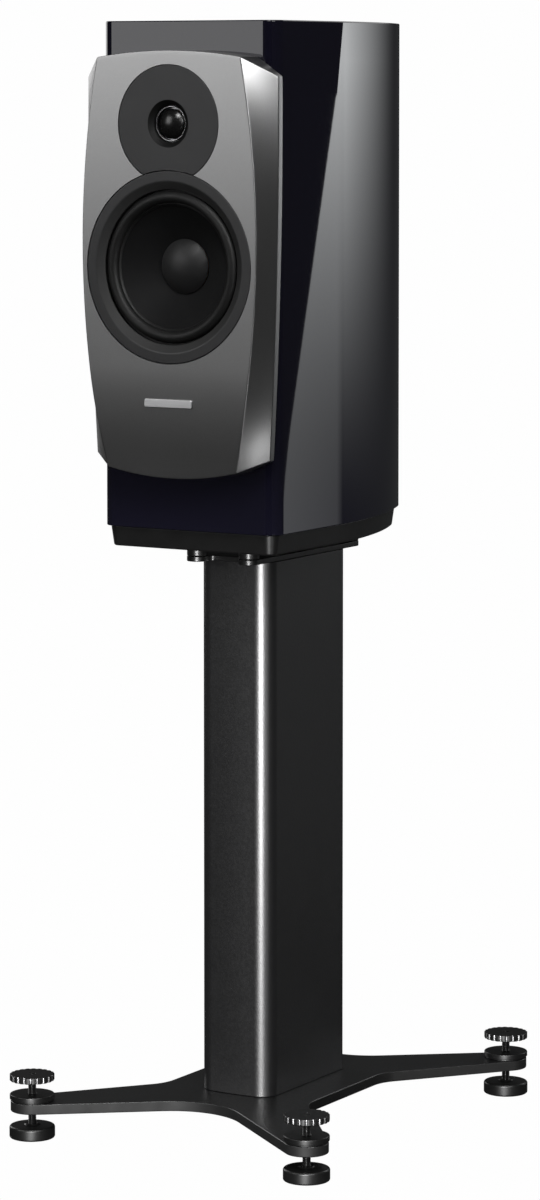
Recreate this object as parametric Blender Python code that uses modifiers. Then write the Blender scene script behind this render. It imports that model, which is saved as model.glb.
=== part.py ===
"""Two-way stand-mount loudspeaker on a column stand with a four-arm base and screw-adjusted feet.

Metres, +Z up, the front faces -Y. The origin is on the floor, midway between the four feet.
"""

import math

import bmesh
import bpy
from mathutils import Matrix, Vector

# ---- Driving dimensions ----
GAP = 0.0003  # clearance between pieces that touch

FOOT_X, FOOT_Y = 0.1530, 0.1960
PAD_RADIUS = 0.0219
SPINDLE_RADIUS = 0.0040
WHEEL_RADIUS, WHEEL_Z, WHEEL_HEIGHT, FLUTES = 0.0215, 0.0555, 0.0060, 21
BUSH_RADIUS, BUSH_TOP = 0.0215, 0.0424

BASE_Z, BASE_THICK = 0.0260, 0.0100
BASE_TOP = BASE_Z + BASE_THICK
ARM_END_RADIUS = 0.0207
BASE_FRONT_VERTEX = 0.1032  # where the straight edges of two front arms would meet
BASE_SIDE_X, BASE_SIDE_Y = 0.0805, 0.0720

COLUMN_HALF_WIDTH, COLUMN_HALF_DEPTH = 0.0400, 0.0765
COLUMN_CORNER, COLUMN_BULGE, COLUMN_WALL = 0.0170, 0.0020, 0.0040

TOP_PLATE_Z, TOP_PLATE_THICK = 0.5535, 0.0050
TOP_PLATE_TOP = TOP_PLATE_Z + TOP_PLATE_THICK
LOBE_X, LOBE_Y, LOBE_RADIUS = 0.0290, 0.0940, 0.0100

PLINTH_Z, CABINET_Z, CABINET_TOP = 0.5705, 0.5900, 1.0680
PLINTH_TOP = CABINET_Z - GAP
CABINET_HALF_WIDTH = 0.0967
CABINET_FRONT, CABINET_BACK = -0.1585, 0.1500
SIDE_RADIUS, SIDE_START = 0.4770, -0.0450  # the sides curve in behind SIDE_START
FRONT_CORNER, REAR_CORNER = 0.0150, 0.0100
SIDE_WALL, END_WALL = 0.0160, 0.0180

BAFFLE_FRONT = -0.1910
BAFFLE_FACET_Y = -0.1660  # the facets' outer edge
BAFFLE_BACK = CABINET_FRONT - GAP
FACE_HALF_WIDTH, FACE_WIDEST_Z, FACE_SIDE_RADIUS = 0.0955, 0.8600, 0.8900
FACET_HALF_WIDTH, FACET_WIDEST_Z, FACET_SIDE_RADIUS = 0.1050, 0.9800, 5.4000
FACE_TOP, FACE_TOP_RADIUS = 1.0402, 0.5000
FACE_BOTTOM, FACE_BOTTOM_RADIUS = 0.6410, 0.3020
FACET_TOP_Z, FACET_BOTTOM_Z = 1.0160, 0.6605
ROLL_START, ROLL_RADIUS = 0.7450, 0.8000  # below ROLL_START the face leans back

WOOFER_Z, TWEETER_Z = 0.8387, 0.9721
WOOFER_RADIUS, TWEETER_RADIUS = 0.0900, 0.0550

PORT_RADIUS = 0.0290
WIRE_RADIUS = 0.0015
POST_X, POST_Z = 0.0165, 0.6800
TERMINAL_FACE = CABINET_BACK + GAP + 0.0030
BADGE_Z = 0.7118

SMALL_ROUND, ROUND, LARGE_ROUND = 12, 16, 32  # sides of turned pieces


# ---- Scene ----
def empty_scene():
    for obj in list(bpy.data.objects):
        bpy.data.objects.remove(obj, do_unlink=True)


def new_collection(name, hidden=False):
    collection = bpy.data.collections.new(name)
    bpy.context.scene.collection.children.link(collection)
    collection.hide_render = hidden
    return collection


empty_scene()
PARTS = new_collection("loudspeaker_on_stand")
CUTTERS = new_collection("cutters", hidden=True)


def finish(name, colour, roughness, metallic=0.0):
    material = bpy.data.materials.new(name)
    material.use_nodes = True
    shader = material.node_tree.nodes["Principled BSDF"]
    shader.inputs["Base Color"].default_value = (*colour, 1.0)
    shader.inputs["Roughness"].default_value = roughness
    shader.inputs["Metallic"].default_value = metallic
    return material


LACQUER = finish("midnight_lacquer", (0.006, 0.006, 0.014), 0.06)
GREY_METAL = finish("grey_metallic_baffle", (0.16, 0.16, 0.165), 0.38, 0.6)
DARK_GREY = finish("dark_grey_trim", (0.045, 0.045, 0.047), 0.5)
BLACK_SATIN = finish("black_powder_coat", (0.012, 0.012, 0.013), 0.45)
CONE_BLACK = finish("black_cone", (0.012, 0.012, 0.013), 0.5)
RUBBER = finish("black_rubber", (0.010, 0.010, 0.010), 0.6)
BRIGHT = finish("bright_metal", (0.75, 0.75, 0.76), 0.2, 1.0)
STEEL = finish("plated_steel", (0.45, 0.45, 0.46), 0.35, 1.0)
FERRITE = finish("ferrite", (0.03, 0.03, 0.032), 0.7)
DOME = finish("coated_soft_dome", (0.006, 0.006, 0.006), 0.15)
BOARD = finish("circuit_board", (0.02, 0.06, 0.03), 0.6)
COPPER = finish("copper", (0.60, 0.26, 0.12), 0.35, 1.0)
FELT = finish("grey_felt", (0.12, 0.12, 0.12), 0.95)
WOOD = finish("fibreboard", (0.28, 0.19, 0.11), 0.8)
SPIDER_CLOTH = finish("treated_cloth", (0.35, 0.22, 0.08), 0.9)
PLASTIC = finish("black_plastic", (0.015, 0.015, 0.015), 0.5)


def group(name, location):
    """An empty on a sub-assembly's axis, which its pieces hang from."""
    obj = bpy.data.objects.new(name, None)
    obj.location = location
    PARTS.objects.link(obj)
    return obj


FACE_FORWARD = (math.radians(90), 0, 0)  # local +Z points to the front, -Y
FACE_BACKWARD = (math.radians(-90), 0, 0)


def node(name, mesh, material, parent=None, location=(0, 0, 0), rotation=(0, 0, 0)):
    obj = bpy.data.objects.new(name, mesh)
    obj.location = location
    obj.rotation_euler = rotation
    obj.parent = parent
    if material is None:
        obj.hide_render = True
        obj.display_type = "WIRE"
        CUTTERS.objects.link(obj)
    else:
        mesh.materials.clear()
        mesh.materials.append(material)
        PARTS.objects.link(obj)
    return obj


def boolean(obj, other, operation="DIFFERENCE"):
    modifier = obj.modifiers.new(other.name, "BOOLEAN")
    modifier.operation = operation
    modifier.solver = "EXACT"
    modifier.object = other


# ---- Modelling helpers ----
def turned(name, profile, material, steps=ROUND, **place):
    """A profile of (radius, height) points turned about Z. Its outer side runs top to bottom."""
    mesh = bpy.data.meshes.new(name)
    ring = profile[0][0] > 0
    edges = [(i, i + 1) for i in range(len(profile) - 1)]
    if ring:
        edges.append((len(profile) - 1, 0))
    mesh.from_pydata([(r, 0, z) for r, z in profile], edges, [])
    obj = node(name, mesh, material, **place)
    screw = obj.modifiers.new("turn", "SCREW")
    screw.steps = screw.render_steps = steps
    screw.use_merge_vertices = True
    screw.merge_threshold = 0.00001
    screw.use_smooth_shade = False
    return obj


def circle(x, y, radius, count=ROUND):
    step = 2 * math.pi / count
    return [(x + radius * math.cos(i * step), y + radius * math.sin(i * step)) for i in range(count)]


def arc(cx, cy, radius, start, end, count):
    """Points on an arc, with its angles in degrees."""
    angles = [math.radians(start + (end - start) * i / count) for i in range(count + 1)]
    return [(cx + radius * math.cos(a), cy + radius * math.sin(a)) for a in angles]


def mirrored(half):
    """An outline closed by its own mirror image in the Y axis."""
    return half + [(-x, y) for x, y in reversed(half) if abs(x) > 1e-6]


def rounded(corners, count=4):
    """A polygon of (x, y, fillet radius) corners with each fillet worked out."""
    points = []
    for i, (x, y, radius) in enumerate(corners):
        here = Vector((x, y))
        before = (Vector(corners[i - 1][:2]) - here).normalized()
        after = (Vector(corners[(i + 1) % len(corners)][:2]) - here).normalized()
        half = before.angle(after) / 2
        reach = radius / math.tan(half)
        centre = here + (before + after).normalized() * radius / math.sin(half)
        first = here + before * reach - centre
        turn = first.angle_signed(here + after * reach - centre)
        for k in range(count + 1):
            spoke = first.copy()
            spoke.rotate(Matrix.Rotation(-turn * k / count, 2))
            points.append(tuple(centre + spoke))
    return points


def prism(name, loops, low, high, material, **place):
    """A flat outline, with any holes, given a thickness from low to high along local Z."""
    curve = bpy.data.curves.new(name, "CURVE")
    curve.dimensions = "2D"
    curve.fill_mode = "BOTH"
    curve.extrude = (high - low) / 2
    for loop in loops:
        spline = curve.splines.new("POLY")
        spline.points.add(len(loop) - 1)
        for point, (x, y) in zip(spline.points, loop):
            point.co = (x, y, 0, 1)
        spline.use_cyclic_u = True
    mesh = mesh_of_curve(curve, name)
    mesh.transform(Matrix.Translation((0, 0, (high + low) / 2)))
    return node(name, mesh, material, **place)


def mesh_of_curve(curve, name):
    """The curve's solid as a mesh, with its loose caps welded on."""
    temporary = bpy.data.objects.new(name + "_curve", curve)
    bpy.context.scene.collection.objects.link(temporary)
    bpy.context.view_layer.update()
    evaluated = temporary.evaluated_get(bpy.context.evaluated_depsgraph_get())
    mesh = bpy.data.meshes.new_from_object(evaluated)
    bpy.data.objects.remove(temporary, do_unlink=True)
    work = bmesh.new()
    work.from_mesh(mesh)
    bmesh.ops.remove_doubles(work, verts=work.verts, dist=0.000005)
    bmesh.ops.recalc_face_normals(work, faces=work.faces)
    work.to_mesh(mesh)
    work.free()
    mesh.name = name
    return mesh


def loft(name, rings, material, **place):
    """A closed solid through rings of equally many points, with flat ends."""
    work = bmesh.new()
    rows = [[work.verts.new(point) for point in ring] for ring in rings]
    count = len(rows[0])
    for low, high in zip(rows, rows[1:]):
        for i in range(count):
            j = (i + 1) % count
            work.faces.new((low[i], low[j], high[j], high[i]))
    work.faces.new(list(reversed(rows[0])))
    work.faces.new(rows[-1])
    bmesh.ops.recalc_face_normals(work, faces=work.faces)
    mesh = bpy.data.meshes.new(name)
    work.to_mesh(mesh)
    work.free()
    return node(name, mesh, material, **place)


def box(name, low, high, material, bevel=0.0, **place):
    work = bmesh.new()
    bmesh.ops.create_cube(work, size=1.0)
    size = Vector(high) - Vector(low)
    middle = (Vector(high) + Vector(low)) / 2
    bmesh.ops.scale(work, vec=size, verts=work.verts)
    bmesh.ops.translate(work, vec=middle, verts=work.verts)
    if bevel:
        bmesh.ops.bevel(work, geom=work.edges[:], offset=bevel, segments=2, affect="EDGES")
    mesh = bpy.data.meshes.new(name)
    work.to_mesh(mesh)
    work.free()
    return node(name, mesh, material, **place)


def tube(name, route, radius, material):
    """A wire of round section along a smooth curve through the route's points."""
    curve = bpy.data.curves.new(name, "CURVE")
    curve.dimensions = "3D"
    curve.bevel_depth = radius
    curve.bevel_resolution = 1
    curve.use_fill_caps = True
    points = smooth_route(route)
    spline = curve.splines.new("POLY")
    spline.points.add(len(points) - 1)
    for point, place in zip(spline.points, points):
        point.co = (*place, 1)
    return node(name, mesh_of_curve(curve, name), material)


def smooth_route(route, count=4):
    """Catmull-Rom points through the route."""
    ends = [2 * Vector(route[0]) - Vector(route[1]), 2 * Vector(route[-1]) - Vector(route[-2])]
    knots = [ends[0], *map(Vector, route), ends[1]]
    points = []
    for a, b, c, d in zip(knots, knots[1:], knots[2:], knots[3:]):
        for k in range(count):
            t = k / count
            quadratic = 2 * a - 5 * b + 4 * c - d
            cubic = 3 * b - a - 3 * c + d
            points.append(0.5 * (2 * b + (c - a) * t + quadratic * t**2 + cubic * t**3))
    return points + [Vector(route[-1])]


# ---- Stand ----
def make_foot(side, end):
    """One levelling foot: a pad, a screw spindle with its wheel, and the arm's bush."""
    name = ("front" if end < 0 else "rear") + ("_left" if side < 0 else "_right")
    foot = group("foot_" + name, (side * FOOT_X, end * FOOT_Y, 0))
    socket = SPINDLE_RADIUS + 0.0004
    pad = [(0, 0.0045), (socket, 0.0045), (socket, 0.0135), (0.0065, 0.0135), (0.0205, 0.0118)]
    pad += [(PAD_RADIUS, 0.0104), (PAD_RADIUS, 0.0014), (0.0205, 0), (0, 0)]
    turned("foot_pad_" + name, pad, BLACK_SATIN, parent=foot)

    neck, wheel_top = 0.0030, WHEEL_Z + WHEEL_HEIGHT
    spindle = [(0, wheel_top - 0.0006), (neck, wheel_top - 0.0006), (neck, WHEEL_Z - GAP)]
    spindle += [(SPINDLE_RADIUS, WHEEL_Z - GAP), (SPINDLE_RADIUS, 0.0050), (0, 0.0050)]
    turned("foot_spindle_" + name, spindle, BLACK_SATIN, SMALL_ROUND, parent=foot)

    rim = []
    for i in range(FLUTES):
        for part, depth in ((0.0, 0.0), (0.42, 0.0), (0.58, 0.0013), (0.84, 0.0013)):
            angle = 2 * math.pi * (i + part) / FLUTES
            radius = WHEEL_RADIUS - depth
            rim.append((radius * math.cos(angle), radius * math.sin(angle)))
    hole = circle(0, 0, neck + GAP, SMALL_ROUND)
    prism("foot_wheel_" + name, [rim, hole], WHEEL_Z, wheel_top, BLACK_SATIN, parent=foot)

    bore, shank = SPINDLE_RADIUS + 0.0004, 0.0072
    seat = BASE_TOP + GAP
    bush = [(bore, BUSH_TOP), (0.0207, BUSH_TOP), (BUSH_RADIUS, BUSH_TOP - 0.0008), (BUSH_RADIUS, seat + 0.0013)]
    bush += [(0.0200, seat + 0.0013), (0.0200, seat), (shank, seat), (shank, BASE_Z), (bore, BASE_Z)]
    turned("foot_bush_" + name, bush, BLACK_SATIN, parent=foot)


def tangent_corner(first, second, centre, radius):
    """Where the lines from two points, each touching the circle's far side from the other, meet."""

    def heading(point, turn):
        to_centre = Vector(centre) - Vector(point)
        angle = math.atan2(to_centre.y, to_centre.x) + turn * math.asin(radius / to_centre.length)
        return Vector((math.cos(angle), math.sin(angle)))

    u, v = heading(first, -1), heading(second, 1)
    apart = Vector(second) - Vector(first)
    reach = apart.cross(v) / u.cross(v)
    return Vector(first) + u * reach


def base_outline():
    front, side = (0, -BASE_FRONT_VERTEX), (BASE_SIDE_X, -BASE_SIDE_Y)
    tip = tangent_corner(front, side, (FOOT_X, -FOOT_Y), ARM_END_RADIUS)
    front_right = [(*front, 0.069), (tip.x, tip.y, ARM_END_RADIUS), (*side, 0.040)]
    rear_right = [(x, -y, r) for x, y, r in reversed(front_right)]
    left = [(-x, y, r) for x, y, r in reversed(front_right[1:] + rear_right[:-1])]
    return rounded(front_right + rear_right + left)


def make_base():
    holes = [circle(sx * FOOT_X, sy * FOOT_Y, 0.0075, SMALL_ROUND) for sx in (-1, 1) for sy in (-1, 1)]
    rod_hole = circle(0, 0, 0.0055, SMALL_ROUND)
    prism("base_plate", [base_outline(), *holes, rod_hole], BASE_Z, BASE_TOP, BLACK_SATIN)


def column_outline(inset=0.0):
    w, d = COLUMN_HALF_WIDTH - inset, COLUMN_HALF_DEPTH - inset
    corner, bulge = COLUMN_CORNER - inset, COLUMN_BULGE
    quarter = [(0, -d - bulge, 0.30), (w, -d, corner), (w, d, corner), (0, d + bulge, 0.30)]
    return rounded(quarter + [(-w, d, corner), (-w, -d, corner)])


def make_column():
    loops = [column_outline(), column_outline(COLUMN_WALL)]
    prism("column", loops, BASE_TOP + GAP, TOP_PLATE_Z - GAP, BLACK_SATIN)
    rod_top = TOP_PLATE_TOP - 0.0005
    rod = [(0, rod_top), (0.0050, rod_top), (0.0050, 0.0185), (0, 0.0185)]
    turned("tie_rod", rod, STEEL, SMALL_ROUND)
    nut_top = BASE_Z - GAP
    hexagon, bore = circle(0, 0, 0.0092, 6), circle(0, 0, 0.0053, SMALL_ROUND)
    prism("tie_rod_nut", [hexagon, bore], nut_top - 0.0065, nut_top, STEEL)


def lobe_places():
    return [(sx * LOBE_X, sy * LOBE_Y) for sx in (-1, 1) for sy in (-1, 1)]


def make_top_plate():
    outer, inner, tip = LOBE_X + LOBE_RADIUS, LOBE_X - LOBE_RADIUS, LOBE_Y + LOBE_RADIUS
    notch, lobe = tip - 0.019, LOBE_RADIUS * 0.98
    right = [(inner, -notch, 0.004), (inner, -tip, lobe), (outer, -tip, lobe)]
    right += [(outer, tip, lobe), (inner, tip, lobe), (inner, notch, 0.004)]
    left = [(-x, y, r) for x, y, r in reversed(right)]
    outline = rounded(right + left, 4)
    rod_hole = circle(0, 0, 0.0055, SMALL_ROUND)
    plate = prism("stand_top_plate", [outline, rod_hole], TOP_PLATE_Z, TOP_PLATE_TOP, BLACK_SATIN)
    low, high = TOP_PLATE_Z - 0.0030, TOP_PLATE_TOP + 0.0030
    sink = [(0, high), (0.0045, high), (0.0045, TOP_PLATE_Z + 0.0040), (0.0115, low), (0, low)]
    for i, (x, y) in enumerate(lobe_places()):
        cutter = turned(f"sink_{i}", sink, None, SMALL_ROUND, location=(x, y, 0))
        boolean(plate, cutter)

    head_low = TOP_PLATE_Z + 0.0002
    screw = [(0, 0.5835), (0.0038, 0.5835), (0.0038, TOP_PLATE_Z + 0.0038), (0.0072, head_low + 0.0003)]
    screw += [(0.0072, head_low), (0.0022, head_low), (0.0022, head_low + 0.0018), (0, head_low + 0.0018)]
    for (x, y), name in zip(lobe_places(), ("front_left", "rear_left", "front_right", "rear_right")):
        turned("stand_screw_" + name, screw, STEEL, SMALL_ROUND, location=(x, y, 0))


# ---- Cabinet ----
def cabinet_plan(inset=0.0, front=None, back=None, front_corner=None, rear_corner=None, count=6):
    """The boat-tail plan, inset on its sides, as an outline seen from above."""
    front = CABINET_FRONT + inset if front is None else front
    back = CABINET_BACK - inset if back is None else back
    front_corner = FRONT_CORNER - inset if front_corner is None else front_corner
    rear_corner = REAR_CORNER - inset if rear_corner is None else rear_corner
    half_width, radius = CABINET_HALF_WIDTH - inset, SIDE_RADIUS - inset
    centre_x = half_width - radius
    rear_y = back - rear_corner
    swing = math.degrees(math.asin((rear_y - SIDE_START) / (radius - rear_corner)))
    rear_x = centre_x + (radius - rear_corner) * math.cos(math.radians(swing))
    half = arc(half_width - front_corner, front + front_corner, front_corner, -90, 0, 4)
    half += arc(centre_x, SIDE_START, radius, 0, swing, count)
    half += arc(rear_x, rear_y, rear_corner, swing, 90, 3)[1:]
    return mirrored(half)


def at_height(outline, z):
    return [(x, y, z) for x, y in outline]


def make_plinth():
    rings = [at_height(cabinet_plan(0.0068), PLINTH_Z), at_height(cabinet_plan(0.0040), PLINTH_TOP)]
    plinth = loft("plinth", rings, BLACK_SATIN)
    boss_low, hole_top = TOP_PLATE_TOP + GAP, 0.5845
    boss = [(0, PLINTH_Z + 0.004), (0.0100, PLINTH_Z + 0.004), (0.0100, boss_low), (0, boss_low)]
    hole = [(0, hole_top), (0.0042, hole_top), (0.0042, boss_low - 0.005), (0, boss_low - 0.005)]
    for i, (x, y) in enumerate(lobe_places()):
        boolean(plinth, turned(f"boss_{i}", boss, None, SMALL_ROUND, location=(x, y, 0)), "UNION")
        boolean(plinth, turned(f"screw_hole_{i}", hole, None, 12, location=(x, y, 0)))
    mouth = [(0, 0.60), (PORT_RADIUS, 0.60), (PORT_RADIUS, 0.584), (PORT_RADIUS + 0.009, 0.56), (0, 0.56)]
    boolean(plinth, turned("port_mouth", mouth, None))


def make_cabinet():
    outside = at_height(cabinet_plan(), CABINET_Z), at_height(cabinet_plan(), CABINET_TOP)
    shell = loft("cabinet_shell", outside, LACQUER)
    inside = cabinet_plan(SIDE_WALL, CABINET_FRONT + END_WALL, CABINET_BACK - END_WALL, 0.003, 0.003)
    low, high = CABINET_Z + END_WALL, CABINET_TOP - END_WALL
    boolean(shell, loft("cavity", (at_height(inside, low), at_height(inside, high)), None))
    for name, z, radius in (("woofer_way", WOOFER_Z, 0.0800), ("tweeter_way", TWEETER_Z, 0.0400)):
        way = [(0, 0.02), (radius, 0.02), (radius, -0.03), (0, -0.03)]
        place = {"location": (0, CABINET_FRONT, z), "rotation": FACE_FORWARD}
        boolean(shell, turned(name, way, None, **place))
    window_low = (-0.028, CABINET_BACK - 0.03, POST_Z - 0.035)
    window_high = (0.028, CABINET_BACK + 0.01, POST_Z + 0.035)
    boolean(shell, box("terminal_window", window_low, window_high, None))
    port_way = [(0, low + 0.01), (0.0325, low + 0.01), (0.0325, CABINET_Z - 0.01), (0, CABINET_Z - 0.01)]
    boolean(shell, turned("port_way", port_way, None))

    bore, wall, top = PORT_RADIUS, PORT_RADIUS + 0.0030, 0.7200
    port = [(bore, top), (bore + 0.008, top + 0.007), (wall + 0.006, top + 0.004), (wall, top - 0.010)]
    port += [(wall, CABINET_Z + 0.0002), (bore, CABINET_Z + 0.0002)]
    turned("port_tube", port[1:] + port[:1], PLASTIC)

    brace_front, brace_z = -0.1180, 0.9150
    plan = cabinet_plan(SIDE_WALL + GAP, brace_front, CABINET_BACK - END_WALL - GAP, 0.003, 0.003, 6)
    front_pair = [(-0.045, -0.09, 0.01), (0.045, -0.09, 0.01)]
    rear_pair = [(0.030, 0.10, 0.01), (-0.030, 0.10, 0.01)]
    opening = rounded(front_pair + rear_pair, 2)
    prism("cabinet_brace", [plan, opening], brace_z, brace_z + 0.012, WOOD)
    box("damping_pad", (-0.042, -0.020, 0.968), (0.042, 0.110, 1.040), FELT, 0.012)


def face_half_width(z):
    return FACE_HALF_WIDTH - (z - FACE_WIDEST_Z) ** 2 / (2 * FACE_SIDE_RADIUS)


def facet_half_width(z):
    return FACET_HALF_WIDTH - (z - FACET_WIDEST_Z) ** 2 / (2 * FACET_SIDE_RADIUS)


def face_y(z):
    drop = max(0.0, ROLL_START - z)
    return BAFFLE_FRONT + ROLL_RADIUS - math.sqrt(ROLL_RADIUS**2 - drop**2)


def baffle_outline():
    """The baffle's front view as (x, height) points, wider than the facets, which cut it to width."""
    corner_x = face_half_width(FACE_TOP - 0.006)
    corner_z = FACE_TOP - corner_x**2 / (2 * FACE_TOP_RADIUS)
    slope = (FACET_TOP_Z - corner_z) / (facet_half_width(FACET_TOP_Z) - corner_x)
    reach = 0.1250
    foot_x = face_half_width(FACE_BOTTOM + 0.009)
    foot_z = FACE_BOTTOM + foot_x**2 / (2 * FACE_BOTTOM_RADIUS)
    foot_slope = (FACET_BOTTOM_Z - foot_z) / (facet_half_width(FACET_BOTTOM_Z) - foot_x)
    steps = 6
    across = [corner_x * i / steps for i in range(steps + 1)]
    top = [(x, FACE_TOP - x**2 / (2 * FACE_TOP_RADIUS)) for x in across]
    side = [(reach, corner_z + slope * (reach - corner_x)), (reach, foot_z + foot_slope * (reach - foot_x))]
    across = [foot_x * i / steps for i in range(steps, -1, -1)]
    foot = [(x, FACE_BOTTOM + x**2 / (2 * FACE_BOTTOM_RADIUS)) for x in across]
    return mirrored(top + side + foot)


def make_baffle():
    rows = []
    lowest, highest, count = 0.620, 1.060, 16
    for i in range(count + 1):
        z = lowest + (highest - lowest) * i / count
        half = [(face_half_width(z), face_y(z)), (facet_half_width(z), BAFFLE_FACET_Y)]
        half.append((facet_half_width(z), BAFFLE_BACK))
        rows.append([(x, y, z) for x, y in half] + [(-x, y, z) for x, y in reversed(half)])
    baffle = loft("front_baffle", rows, GREY_METAL)
    view = prism("baffle_view", [baffle_outline()], 0.10, 0.25, None, rotation=FACE_FORWARD)
    boolean(baffle, view, "INTERSECT")
    for name, z, radius, depth, way in (
        ("woofer_seat", WOOFER_Z, WOOFER_RADIUS + GAP, 0.0106, 0.0775),
        ("tweeter_seat", TWEETER_Z, TWEETER_RADIUS + GAP, 0.0053, 0.0375),
    ):
        seat = [(0, 0.02), (radius, 0.02), (radius, -depth), (way, -depth), (way, -0.06), (0, -0.06)]
        place = {"location": (0, BAFFLE_FRONT, z), "rotation": FACE_FORWARD}
        boolean(baffle, turned(name, seat, None, LARGE_ROUND, **place))

    lean = math.asin((ROLL_START - BADGE_Z) / ROLL_RADIUS)
    place = {"location": (0, face_y(BADGE_Z), BADGE_Z), "rotation": (-lean, 0, 0)}
    box("blank_badge", (-0.026, -0.0018, -0.0038), (0.026, -0.0005, 0.0038), BRIGHT, **place)


# ---- Woofer ----
def half_turn(count):
    return [math.pi * i / count for i in range(count + 1)]


def cone_line(radius):
    """Height of the cone's front surface, a gently flared cone."""
    outer, inner, rim, neck = 0.0600, 0.0252, -0.0088, -0.0310
    share = (outer - radius) / (outer - inner)
    return rim + (neck - rim) * (share + 0.12 * share * (1 - share))


def make_woofer():
    woofer = group("woofer", (0, BAFFLE_FRONT, WOOFER_Z))
    axis = {"parent": woofer, "rotation": FACE_FORWARD}
    seat = -0.0053
    trim = [(0.0800, 0), (0.0892, 0), (0.0897, -0.0005), (0.0897, seat), (0.0716, seat), (0.0716, -0.0048)]
    turned("woofer_trim_ring", trim, DARK_GREY, LARGE_ROUND, **axis)

    flange, flange_low = seat - GAP, -0.0103
    basket = [(0.0762, flange), (0.0895, flange), (0.0895, flange_low), (0.0768, flange_low), (0.0655, -0.0460)]
    basket += [(0.0560, -0.0600), (0.0560, -0.0640), (0.0300, -0.0640), (0.0300, -0.0600), (0.0520, -0.0600)]
    basket += [(0.0600, -0.0460), (0.0560, -0.0460), (0.0560, -0.0430), (0.0620, -0.0430), (0.0735, -0.0103)]
    basket += [(0.0715, -0.0103), (0.0715, -0.0088), (0.0762, -0.0088)]
    frame = turned("woofer_basket", basket, BLACK_SATIN, 24, **axis)
    for i in range(6):
        turn = math.radians(60 * i)
        window = box(f"basket_window_{i}", (0.050, -0.019, -0.040), (0.095, 0.019, -0.0145), None, **axis)
        window.rotation_euler = (math.radians(90), turn, 0)
        boolean(frame, window)

    roll, thick = 0.0050, 0.0010
    middle, base = 0.0658, -0.0080
    outer = roll + thick
    over = [(middle - outer * math.cos(a), base + outer * math.sin(a)) for a in half_turn(5)]
    under = [(middle + roll * math.cos(a), base + roll * math.sin(a)) for a in half_turn(5)]
    lip_out, lip_in = 0.0755, 0.0575
    surround = [(lip_in, cone_line(lip_in) + 0.0014), *over, (lip_out, base + 0.0001)]
    surround += [(lip_out, base - 0.0005), (middle + roll, base - 0.0005), *under]
    surround += [(lip_in, cone_line(lip_in) + 0.0003)]
    turned("woofer_surround", surround, RUBBER, LARGE_ROUND, **axis)

    stations = [0.0600 - (0.0600 - 0.0252) * i / 4 for i in range(5)]
    cone = [(r, cone_line(r)) for r in reversed(stations)]
    cone += [(r, cone_line(r) - 0.0012) for r in stations]
    turned("woofer_cone", cone, CONE_BLACK, LARGE_ROUND, **axis)

    cap_radius, cap_low, cap_rise = 0.0258, -0.0293, 0.0100
    bulge = (cap_radius**2 + cap_rise**2) / (2 * cap_rise)
    swing = math.degrees(math.asin(cap_radius / bulge))
    crown = arc(0, cap_low + cap_rise - bulge, bulge, 90, 90 - swing, 4)
    crown[0] = (0, crown[0][1])
    inner = [(r * 0.97, z - 0.0010) for r, z in reversed(crown)]
    turned("woofer_dust_cap", crown + inner, CONE_BLACK, ROUND, **axis)

    coil = [(0.0238, -0.0318), (0.0244, -0.0318), (0.0244, -0.0590), (0.0252, -0.0590), (0.0252, -0.0720)]
    turned("woofer_voice_coil", coil + [(0.0238, -0.0720)], COPPER, ROUND, **axis)

    waves = [(0.0257 + (0.0595 - 0.0257) * i / 6, -0.0425 + 0.0015 * (i % 2)) for i in range(7)]
    waves = [(r, z + 0.0002) for r, z in waves]
    spider = waves + [(r, z - 0.0006) for r, z in reversed(waves)]
    turned("woofer_spider", spider, SPIDER_CLOTH, ROUND, **axis)

    plate_top, magnet_top, yoke_top, yoke_low = -0.0643, -0.0706, -0.0889, -0.0955
    plate = [(0.0258, plate_top), (0.0470, plate_top), (0.0470, magnet_top + GAP), (0.0258, magnet_top + GAP)]
    turned("woofer_top_plate", plate, STEEL, ROUND, **axis)
    magnet = [(0.0300, magnet_top), (0.0520, magnet_top), (0.0520, yoke_top + GAP), (0.0300, yoke_top + GAP)]
    turned("woofer_magnet", magnet, FERRITE, ROUND, **axis)
    yoke = [(0.0070, -0.0640), (0.0233, -0.0640), (0.0233, yoke_top), (0.0470, yoke_top)]
    yoke += [(0.0470, yoke_low + 0.001), (0.0460, yoke_low), (0.0070, yoke_low)]
    turned("woofer_pole_piece", yoke, STEEL, ROUND, **axis)


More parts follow.
